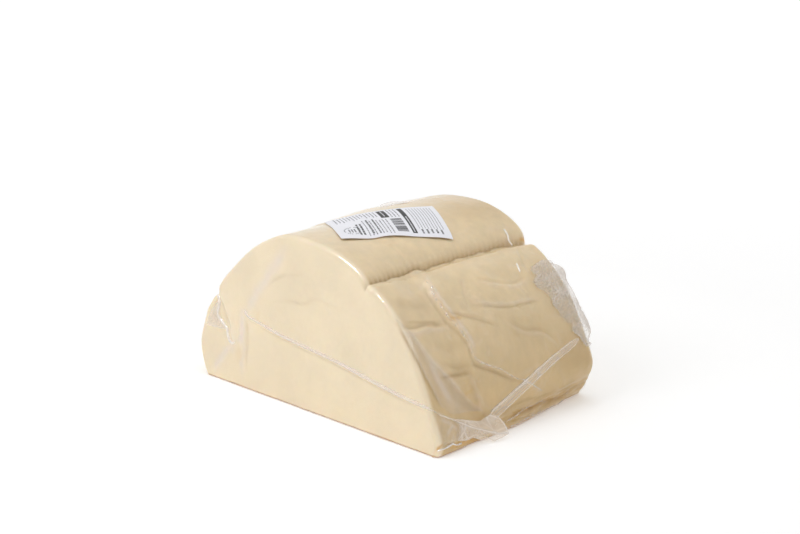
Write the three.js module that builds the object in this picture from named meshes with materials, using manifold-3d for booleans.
// Half a round of provolone, cut across into a thick piece and sealed in a clear vacuum bag, with its
// paper label. It lies on its long cut face. Millimetres and degrees, +Z up.
//
// The modelling frame has X along the straight foot of the front cut face, Y back from that face and
// Z up from the flat base. The round's own axis runs along Y at (AXIS_X, 0): a point of the rind is
// given by its turn about that axis, 0 at the right foot, 90 at the top and 180 at the left foot.
import * as THREE from 'three';
import { mergeVertices } from 'three/addons/utils/BufferGeometryUtils.js';
import Module from 'manifold-3d';

// The half round
const ROUND_RADIUS = 144; // of the rind at the front face
const AXIS_X = -8.5; // the round's axis, left of the middle of the front face's foot
const LENGTH = 190; // from the front face to the back face
const SWELL = 7; // how much the round grows towards its belly
const SWELL_RUN = 115; // over this distance from the front face
const FRONT_EDGE = 5; // radius of the rind's front edge under the film
const BACK_EDGE = 7; // radius of its back edge
const FRONT_LEAN = 4; // the front face's foot stands this far ahead of its crown
const CROWN = 145; // height at which that lean has run out

// The foot, where the rind turns in to the base
const FOOT_TURN = 13; // the rind starts to turn in at this angle above the base
const FOOT_RIGHT = 18; // how far it has turned in at the back, on the right
const FOOT_RIGHT_START = 55; // distance from the front where that begins
const FOOT_RIGHT_END = 215; // and where it would be complete
const FOOT_LEFT = 12.5; // turn-in at the front, on the left
const FOOT_LEFT_GAIN = 5; // and what the back adds to it
const TOE = { turn: 3, half: 8, proud: 8 }; // the right foot's bulge at the front face
const TOE_RUN = 90; // and where it has died out

// Bulges and flats of the rind at the front face: beside the crown and towards either foot
const UNEVEN_FRONT = [
  { turn: 102, half: 10, proud: 2.5 },
  { turn: 131, half: 11, proud: -3 },
  { turn: 26, half: 7, proud: -2.2 },
];
const UNEVEN_RUN = 100; // where they have evened out

// Bulges of the rind at the back: over the turned-in right foot, and beside the crown
const BULGES = [{ turn: 12, half: 6, proud: 3 }, { turn: 74, half: 16, proud: 3 }];
const BULGE_START = 120;
const BULGE_END = 180;

// The grooves that the hanging ropes left, each with its depth at the front face and behind it
const ROPE_RIGHT = { turn: 58.8, front: 4.5, full: 9.5 };
const ROPE_LEFT = { turn: 149, front: 1, full: 7 };
const ROPE_RUN = 60; // a groove is at its full depth this far from the front face
const ROPE_HALF_TURN = 3.4; // half of the groove's width
const ROPE_CUSP = 1.6; // 2 would be a round-bottomed groove
const HOOP_Y = 46; // distance of the round groove from the front face
const HOOP_DEPTH = 4.5;
const HOOP_FRONT_RUN = 30; // the rind sinks slowly into it from the front
const HOOP_BACK_RUN = 9; // and steps up behind it
const HOOP_TOP_SHARE = 0.25; // it is faint between the long grooves
const HOOP_FOOT_SHARE = 0.3;

// The dent in the front face, beside the left groove
const DENT_TOP = new THREE.Vector2(-134, 80);
const DENT_LOW = new THREE.Vector2(-108, 40);
const DENT_DEPTH = 5;
const DENT_HALF_WIDTH = 8;
const DENT_RUN = 25; // how far back along the rind it dies out

// The label
const LABEL_LENGTH = 96;
const LABEL_WIDTH = 63;
const LABEL_THICKNESS = 0.4;
const LABEL_GAP = 0.35; // clear of the bag under it
const LABEL_Y = 80; // its middle, from the front face
const LABEL_TURN = 85; // and round the rind
const LABEL_SKEW = 28.5; // its long side against the round's axis

// Folds of the bag that stand proud of the cheese
const SEAM_WIDTH = 6;
const SEAM_PROUD = 1.2;
const SEAM_ROUTE = [[-88, 65.5], [-18, 59], [42, 51], [98, 44], [132, 39]]; // x and height on the front face
const TUBE_RADIUS = 3.2; // of the hollow-looking fold along the right flank
const TUBE_ROUTE = [[5, 55], [7.8, 72], [12.5, 104], [16.9, 138], [20.5, 172]]; // turn and distance back
const EAR_PROUD = 10; // how far the bag's front corner stands off the right flank
const EAR_THICKNESS = 1.6;
const EAR_LENGTH = 70; // along the flank
const TAIL_PROUD = 7; // how far the gathered tail stands behind the back face
const TAIL_REACH = 30; // and how far it comes forward along the rind
const TAIL_TURNS = [18, 47]; // it runs round the rind between these
const TAIL_DEPTH = 11; // of its edge behind the back face
const SUNK = 2; // how far a fold's root is sunk into the solid it is joined to

const COLORS = { cheese: 0xeadbb8, label: 0xe6e7ea };

const wasm = await Module();
wasm.setup();

const rad = THREE.MathUtils.degToRad;
const mix = THREE.MathUtils.lerp;
const ramp = (t, from, to) => THREE.MathUtils.smoothstep(t, from, to);
const bump = (t, centre, half) => Math.exp(-(((t - centre) / half) ** 2));

// [from, to, steps] stretches, as one rising list of values
function spread(stretches) {
  const values = [stretches[0][0]];
  for (const [from, to, steps] of stretches) {
    for (let i = 1; i <= steps; i++) values.push(mix(from, to, i / steps));
  }
  return values;
}

// --- The rind -------------------------------------------------------------------------------------

function longGroove(rope, turn, y) {
  const depth = mix(rope.front, rope.full, ramp(y, 0, ROPE_RUN));
  return depth / (1 + Math.abs((turn - rope.turn) / ROPE_HALF_TURN) ** ROPE_CUSP);
}

function hoopGroove(turn, y) {
  const { turn: right } = ROPE_RIGHT;
  const { turn: left } = ROPE_LEFT;
  const onTop = ramp(turn, right - 6, right + 2) * (1 - ramp(turn, left - 3, left + 5));
  const nearFoot = 1 - ramp(Math.min(turn, 180 - turn), 2, FOOT_TURN);
  const share = mix(mix(1, HOOP_TOP_SHARE, onTop), HOOP_FOOT_SHARE, nearFoot);
  const gap = y - HOOP_Y;
  const profile = 1 - (gap < 0 ? ramp(-gap, 0, HOOP_FRONT_RUN) : ramp(gap, 0, HOOP_BACK_RUN));
  return HOOP_DEPTH * share * profile;
}

function footTurnIn(turn, y) {
  const profile = (above) => Math.max(0, 1 - above / FOOT_TURN) ** 1.5;
  const right = FOOT_RIGHT * ramp(y, FOOT_RIGHT_START, FOOT_RIGHT_END);
  const left = FOOT_LEFT + FOOT_LEFT_GAIN * ramp(y, 0, LENGTH);
  return right * profile(turn) + left * profile(180 - turn);
}

// How far the hand-shaped rind stands out of the true round, which it does differently front and back.
function unevenness(turn, y) {
  const total = (bulges) => bulges.reduce((sum, b) => sum + b.proud * bump(turn, b.turn, b.half), 0);
  const front = (1 - ramp(y, 0, UNEVEN_RUN)) * total(UNEVEN_FRONT);
  return front + (1 - ramp(y, 0, TOE_RUN)) * total([TOE]) + ramp(y, BULGE_START, BULGE_END) * total(BULGES);
}

function edgeInset(y) {
  const quarter = (r, left) => (left < r ? r - Math.sqrt(r * r - (r - left) ** 2) : 0);
  return quarter(FRONT_EDGE, y) + quarter(BACK_EDGE, LENGTH - y);
}

function rindRadius(turn, y) {
  const round = ROUND_RADIUS + SWELL * ramp(y, 0, SWELL_RUN) + unevenness(turn, y);
  const ropes = longGroove(ROPE_RIGHT, turn, y) + longGroove(ROPE_LEFT, turn, y) + hoopGroove(turn, y);
  return round - ropes - footTurnIn(turn, y) - edgeInset(y);
}

// Leans the front face and presses the dent into it.
function settle(point) {
  const { x, y, z } = point;
  const lean = FRONT_LEAN * Math.max(0, 1 - z / CROWN) * (1 - y / LENGTH);
  const along = DENT_LOW.clone().sub(DENT_TOP);
  const from = new THREE.Vector2(x, z).sub(DENT_TOP);
  const t = THREE.MathUtils.clamp(from.dot(along) / along.lengthSq(), 0, 1);
  const off = from.sub(along.multiplyScalar(t)).length();
  const dent = DENT_DEPTH * (1 - 0.6 * t) * bump(off, 0, DENT_HALF_WIDTH) * (1 - ramp(y, 0, DENT_RUN));
  return new THREE.Vector3(x, y - lean + dent, z);
}

// A point on the rind, or share of the way out to it, lifted off it by lift.
function rindPoint(turn, y, lift = 0, share = 1) {
  const r = (rindRadius(turn, y) + lift) * share;
  return new THREE.Vector3(AXIS_X + r * Math.cos(rad(turn)), y, r * Math.sin(rad(turn)));
}

// --- Closed meshes --------------------------------------------------------------------------------

function geometryOf(points, index) {
  const geometry = new THREE.BufferGeometry();
  geometry.setAttribute('position', new THREE.Float32BufferAttribute(points.flatMap((p) => p.toArray()), 3));
  geometry.setIndex(index);
  return geometry;
}

function quad(index, a, b, c, d) {
  index.push(a, b, c, a, c, d);
}

// A plate between two grids of points, outer(u, v) and inner(u, v), with u and v from 0 to 1.
function plate(stepsU, stepsV, outer, inner) {
  const points = [];
  for (const side of [outer, inner]) {
    for (let i = 0; i <= stepsU; i++) {
      for (let j = 0; j <= stepsV; j++) points.push(side(i / stepsU, j / stepsV));
    }
  }
  const row = stepsV + 1;
  const under = (stepsU + 1) * row;
  const index = [];
  for (let i = 0; i < stepsU; i++) {
    for (let j = 0; j < stepsV; j++) {
      const a = i * row + j;
      quad(index, a, a + row, a + row + 1, a + 1);
      quad(index, a + under, a + under + 1, a + under + row + 1, a + under + row);
    }
  }
  const last = stepsU * row;
  for (let i = 0; i < stepsU; i++) {
    quad(index, i * row, i * row + under, (i + 1) * row + under, (i + 1) * row);
    const a = i * row + stepsV;
    quad(index, a, a + row, a + row + under, a + under);
  }
  for (let j = 0; j < stepsV; j++) {
    quad(index, j, j + 1, j + 1 + under, j + under);
    quad(index, last + j, last + j + under, last + j + 1 + under, last + j + 1);
  }
  return facingOut(geometryOf(points, index));
}

// Turns every face round where the mesh is inside out.
function facingOut(geometry) {
  const position = geometry.getAttribute('position');
  const index = geometry.getIndex().array;
  const [a, b, c] = [new THREE.Vector3(), new THREE.Vector3(), new THREE.Vector3()];
  let volume = 0;
  for (let i = 0; i < index.length; i += 3) {
    a.fromBufferAttribute(position, index[i]);
    b.fromBufferAttribute(position, index[i + 1]);
    c.fromBufferAttribute(position, index[i + 2]);
    volume += a.dot(b.cross(c));
  }
  if (volume < 0) {
    for (let i = 0; i < index.length; i += 3) [index[i], index[i + 1]] = [index[i + 1], index[i]];
  }
  return geometry;
}

function toSolid(geometry) {
  const bare = geometry.clone();
  bare.deleteAttribute('normal');
  bare.deleteAttribute('uv');
  const merged = mergeVertices(bare, 1e-3);
  const mesh = new wasm.Mesh({
    numProp: 3,
    vertProperties: merged.getAttribute('position').array,
    triVerts: new Uint32Array(merged.getIndex().array),
  });
  return new wasm.Manifold(mesh);
}

function toGeometry(solid) {
  const mesh = solid.getMesh();
  const geometry = new THREE.BufferGeometry();
  geometry.setAttribute('position', new THREE.BufferAttribute(mesh.vertProperties.slice(), 3));
  geometry.setIndex([...mesh.triVerts]);
  return geometry;
}

// --- The pieces -----------------------------------------------------------------------------------

// The rind as rings of points from foot to foot, the front face as rings that shrink to the axis, and
// the flat back face and base.
function halfRound() {
  const turns = spread([
    [0, FOOT_TURN, 6],
    [FOOT_TURN, 50, 9],
    [50, ROPE_RIGHT.turn, 7],
    [ROPE_RIGHT.turn, 68, 7],
    [68, 142, 17],
    [142, ROPE_LEFT.turn, 5],
    [ROPE_LEFT.turn, 156, 5],
    [156, 180 - FOOT_TURN, 3],
    [180 - FOOT_TURN, 180, 6],
  ]);
  const stations = spread([
    [0, 0.4, 1],
    [0.4, 1.6, 1],
    [1.6, FRONT_EDGE, 1],
    [FRONT_EDGE, HOOP_Y - 8, 4],
    [HOOP_Y - 8, HOOP_Y, 2],
    [HOOP_Y, HOOP_Y + HOOP_BACK_RUN, 3],
    [HOOP_Y + HOOP_BACK_RUN, LENGTH - BACK_EDGE, 8],
    [LENGTH - BACK_EDGE, LENGTH - 3, 3],
    [LENGTH - 3, LENGTH - 0.8, 1],
    [LENGTH - 0.8, LENGTH, 1],
  ]);
  const shares = [0.25, 0.45, 0.62, 0.75, 0.85, 0.93];
  const rings = [
    ...shares.map((share) => turns.map((turn) => rindPoint(turn, 0, 0, share))),
    ...stations.map((y) => turns.map((turn) => rindPoint(turn, y))),
  ];
  const points = [new THREE.Vector3(AXIS_X, 0, 0), ...rings.flat(), new THREE.Vector3(AXIS_X, LENGTH, 0)];
  const row = turns.length;
  const at = (ring, i) => 1 + ring * row + i;
  const back = points.length - 1;
  const index = [];
  for (let i = 0; i + 1 < row; i++) {
    index.push(0, at(0, i), at(0, i + 1));
    index.push(back, at(rings.length - 1, i + 1), at(rings.length - 1, i));
    for (let ring = 0; ring + 1 < rings.length; ring++) {
      quad(index, at(ring, i), at(ring + 1, i), at(ring + 1, i + 1), at(ring, i + 1));
    }
  }
  // The base: its outline is the right foot, the back corner to corner, the left foot and the front.
  const right = rings.map((_, ring) => at(ring, 0));
  const left = rings.map((_, ring) => at(ring, row - 1));
  const outline = [...right, back, ...left.reverse(), 0];
  const settled = points.map(settle);
  const flat = outline.map((i) => new THREE.Vector2(settled[i].x, settled[i].y));
  for (const [a, b, c] of THREE.ShapeUtils.triangulateShape(flat, [])) {
    index.push(outline[a], outline[c], outline[b]);
  }
  return facingOut(geometryOf(settled, index));
}

// The bag's welded seam, a low ribbon from the left dent down across the front face to its right foot.
function frontSeam() {
  const path = new THREE.CatmullRomCurve3(SEAM_ROUTE.map(([x, z]) => new THREE.Vector3(x, 0, z)));
  const face = (u, v, proud) => {
    const p = path.getPointAt(u);
    const settled = settle(p.setZ(p.z + (v - 0.5) * SEAM_WIDTH));
    return settled.setY(settled.y - proud);
  };
  const crown = (v) => SEAM_PROUD * Math.sin(Math.PI * v) + 0.05;
  return plate(16, 4, (u, v) => face(u, v, crown(v)), (u, v) => face(u, v, -SUNK));
}

// The bag's folded edge, a slim tube that climbs along the right flank from the ear to the tail.
function flankTube() {
  const path = new THREE.CatmullRomCurve3(TUBE_ROUTE.map(([turn, y]) => settle(rindPoint(turn, y, 0.6))));
  const ring = new THREE.Shape().absarc(0, 0, TUBE_RADIUS, 0, 2 * Math.PI);
  return new THREE.ExtrudeGeometry(ring, { steps: 16, curveSegments: 4, extrudePath: path });
}

// The bag's front corner: a leaf off the right flank that droops towards the foot.
function ear() {
  const root = (u) => settle(rindPoint(mix(13.5, 5.5, ramp(u, 0, 0.8)), mix(6, EAR_LENGTH, u), -SUNK));
  const rim = (u) => {
    const reach = EAR_PROUD * mix(0.3, 1, ramp(u, 0, 0.6));
    return settle(rindPoint(3, mix(0, EAR_LENGTH, u), reach)).setZ(mix(12, 6, ramp(u, 0.2, 0.8)));
  };
  const sheet = (u, v, side) => {
    const p = root(u).lerp(rim(u), v);
    return p.setZ(p.z + side * mix(3, 1, v) * EAR_THICKNESS);
  };
  return plate(10, 4, (u, v) => sheet(u, v, 1), (u, v) => sheet(u, v, -1));
}

// The gathered tail of the bag, crumpled round the back edge of the right flank.
function tail() {
  const crumple = (u) => Math.sin(u * 17) + 0.7 * Math.sin(u * 29 + 1);
  const width = (u) => Math.sin(Math.PI * mix(0.18, 0.86, u));
  const layer = (u, v, depth) => {
    const turn = rad(mix(...TAIL_TURNS, u));
    const y = mix(LENGTH - TAIL_REACH * width(u), LENGTH + TAIL_PROUD * width(u), v);
    const r = ROUND_RADIUS + SWELL - 1 + 1.5 * Math.sin(Math.PI * v) - 2.5 * v * v + crumple(u) * v - depth;
    return new THREE.Vector3(AXIS_X + r * Math.cos(turn), y, r * Math.sin(turn));
  };
  return plate(18, 6, (u, v) => layer(u, v, 0), (u, v) => layer(u, v, mix(2 * SUNK, TAIL_DEPTH, v)));
}

function baggedCheese() {
  const folds = [frontSeam(), flankTube(), ear(), tail()];
  const solid = folds.reduce((whole, fold) => whole.add(toSolid(fold)), toSolid(halfRound()));
  return toGeometry(solid);
}

// The paper label, laid on the rind between the two long grooves.
function label() {
  const skew = rad(LABEL_SKEW);
  const turnPerMm = 180 / (Math.PI * (ROUND_RADIUS + SWELL));
  const onRind = (lift) => (u, v) => {
    const along = (u - 0.5) * LABEL_LENGTH;
    const across = (v - 0.5) * LABEL_WIDTH;
    const y = LABEL_Y + along * Math.cos(skew) - across * Math.sin(skew);
    const aside = along * Math.sin(skew) + across * Math.cos(skew);
    return rindPoint(LABEL_TURN - aside * turnPerMm, y, lift);
  };
  return plate(16, 10, onRind(LABEL_GAP + LABEL_THICKNESS), onRind(LABEL_GAP));
}

function part(name, geometry, color, roughness) {
  geometry.computeVertexNormals();
  const material = new THREE.MeshStandardMaterial({ color, roughness, metalness: 0, flatShading: true });
  const mesh = new THREE.Mesh(geometry, material);
  mesh.name = name;
  return mesh;
}

const cheese = new THREE.Group();
cheese.add(part('bagged_cheese', baggedCheese(), COLORS.cheese, 0.35));
cheese.add(part('label', label(), COLORS.label, 0.6));

// The origin is the middle of the footprint's box, on the surface that the piece lies on.
const box = new THREE.Box3().setFromObject(cheese);
const middle = box.getCenter(new THREE.Vector3());
cheese.position.set(-middle.x, -middle.y, -box.min.z);
cheese.updateMatrixWorld(true);

export default cheese;
